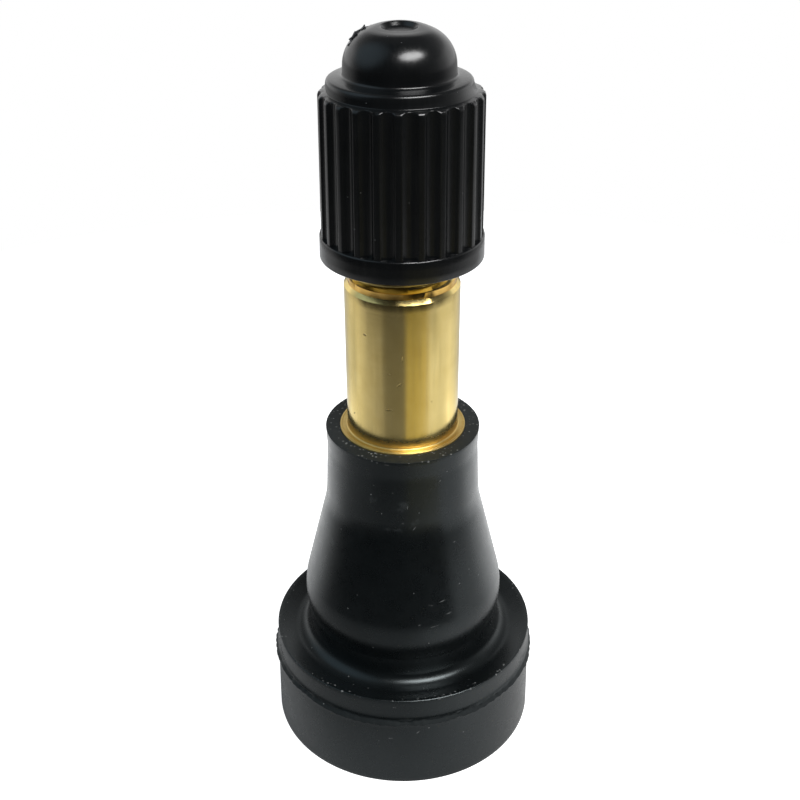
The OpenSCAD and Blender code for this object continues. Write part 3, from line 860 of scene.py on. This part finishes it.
def studio_floor():
    """The sheet of paper under the valve, cut short in front and on the left."""
    angles = columns(144)
    front = np.degrees(np.arctan2(np.cos(angles), -np.sin(angles)))
    reach = np.where(np.abs(front) > 128, 118.0, 80.0) * MM
    reach = np.where((front > -104) & (front < 53), 42.0 * MM, reach)
    points = np.stack([reach * np.cos(angles), reach * np.sin(angles), 0 * angles], -1)
    mesh = bpy.data.meshes.new("floor")
    mesh.from_pydata(points.tolist(), [], [list(range(len(angles)))])
    mesh.materials.append(floor_material())
    floor = bpy.data.objects.new("floor", mesh)
    bpy.context.scene.collection.objects.link(floor)


def low_walls(tree, place, height):
    """Light of the walls below and at eye level, by heading and by height of a direction."""
    low = ramp(tree, place, [
        (0.0, 0.6), (at(-128), 0.66), (at(-112), 0.8), (at(-100), 0.68), (at(-81), 0.52),
        (at(-44), 0.33), (at(-34), 0.16), (at(3), 0.16), (at(10), (0.44, 0.39, 0.20)),
        (at(24), (0.43, 0.38, 0.19)), (at(46), (0.60, 0.54, 0.31)), (at(58), (0.85, 0.82, 0.73)),
        (at(74), 0.95), (at(90), 0.78), (at(123), 0.56), (1.0, 0.6)])
    ring = ramp(tree, place, [
        (0.0, 0.28), (at(-128), 0.4), (at(-106), 0.24), (at(-92), 0.015), (at(90), 0.015),
        (at(108), 0.24), (at(128), 0.4), (1.0, 0.28)])
    level = ramp(tree, place, [
        (0.0, 0.85), (at(-146), 0.85), (at(-120), 0.95), (at(-104), 0.4), (at(-90), 0.1),
        (at(-71), 0.02), (at(40), 0.015), (at(78), 0.16), (at(100), 0.5), (at(120), 1.0),
        (at(145), 0.85), (1.0, 0.85)])
    fade = ramp(tree, place, [
        (0.0, 0.26), (at(-120), 0.25), (at(-100), 0.26), (at(-86), 0.32), (at(-72), 0.4),
        (at(64), 0.4), (at(80), 0.32), (at(92), 0.27), (at(120), 0.25), (1.0, 0.26)])
    fade = maths(tree, "MULTIPLY", fade, -1.0)
    walls = mixed(tree, ranged(tree, height, -0.45, fade), low, ring)
    return mixed(tree, ranged(tree, height, -0.13, -0.05), walls, level)


def upper_share(tree, place, height):
    """Share of that light which is left above eye level, by height; more of it at the back."""
    upper = ramp(tree, height, [(0.3, 1.0), (0.46, 0.4), (0.64, 0.2), (0.85, 0.1)])
    behind = ramp(tree, height, [(0.28, 1.0), (0.4, 0.65), (0.64, 0.6), (0.85, 0.12)])
    back = ramp(tree, place, [
        (0.0, 1.0), (at(-170), 1.0), (at(-157), 0.0), (at(157), 0.0), (at(170), 1.0), (1.0, 1.0)])
    return mixed(tree, back, upper, behind)


def studio_room():
    """White walls at the sides and back, a dark opening in front, and white where it is seen."""
    world = bpy.data.worlds.new("room")
    bpy.context.scene.world = world
    world.use_nodes = True
    tree = world.node_tree
    ray = node(tree, "TexCoord").outputs["Generated"]
    parts = node(tree, "SeparateXYZ", {0: ray}).outputs
    place, height = heading(tree, parts), parts[2]
    lights = {0: 1.0, 6: low_walls(tree, place, height), 7: upper_share(tree, place, height)}
    shade = node(tree, "Mix", lights, data_type="RGBA", blend_type="MULTIPLY").outputs[2]
    pale_way = {0: ray, 1: (-0.776, -0.137, 0.616)}
    towards = node(tree, "VectorMath", pale_way, operation="DOT_PRODUCT").outputs["Value"]
    shade = mixed(tree, ranged(tree, towards, 0.74, 0.99), shade, (0.36, 0.46, 0.53, 1))
    lit = node(tree, "Background", {"Color": shade, "Strength": 1.2}).outputs[0]
    white = node(tree, "Background", {"Color": (1, 1, 1, 1), "Strength": 1.0}).outputs[0]
    seen = node(tree, "LightPath").outputs["Is Camera Ray"]
    shader = node(tree, "MixShader", {0: seen, 1: lit, 2: white}).outputs[0]
    tree.links.new(shader, tree.nodes["World Output"].inputs["Surface"])


def softbox(name, place, target, width, height, power):
    """An area light at a place, turned to a target; sizes in metres."""
    light = bpy.data.lights.new(name, "AREA")
    light.shape = "ELLIPSE"
    light.size, light.size_y, light.energy = width, height, power
    lamp = bpy.data.objects.new(name, light)
    bpy.context.scene.collection.objects.link(lamp)
    lamp.location = place
    away = np.array(place) - np.array(target)
    lamp.rotation_euler = (math.atan2(math.hypot(away[0], away[1]), away[2]), 0,
                           math.atan2(away[0], -away[1]))


def photo_camera():
    """The camera fitted to the photo: 29 degrees down, about 9 cm from the valve."""
    data = bpy.data.cameras.new("camera")
    data.sensor_width, data.lens = 36, 52.86
    data.clip_start, data.clip_end = 0.005, 5
    camera = bpy.data.objects.new("camera", data)
    bpy.context.scene.collection.objects.link(camera)
    down, lean = 29.32, -0.24
    place = Matrix.Translation((-0.000187, -0.07582, 0.07092))
    tilt = Matrix.Rotation(math.radians(90 - down), 4, "X")
    roll = Matrix.Rotation(math.radians(lean), 4, "Z")
    camera.matrix_world = place @ tilt @ roll
    bpy.context.scene.camera = camera


studio_floor()
studio_room()
softbox("key", (0.1225, -0.1887, 0.318), (0, 0, 0.05), 0.27, 0.14, 1.4)
photo_camera()
bpy.context.scene.view_settings.view_transform = "Standard"
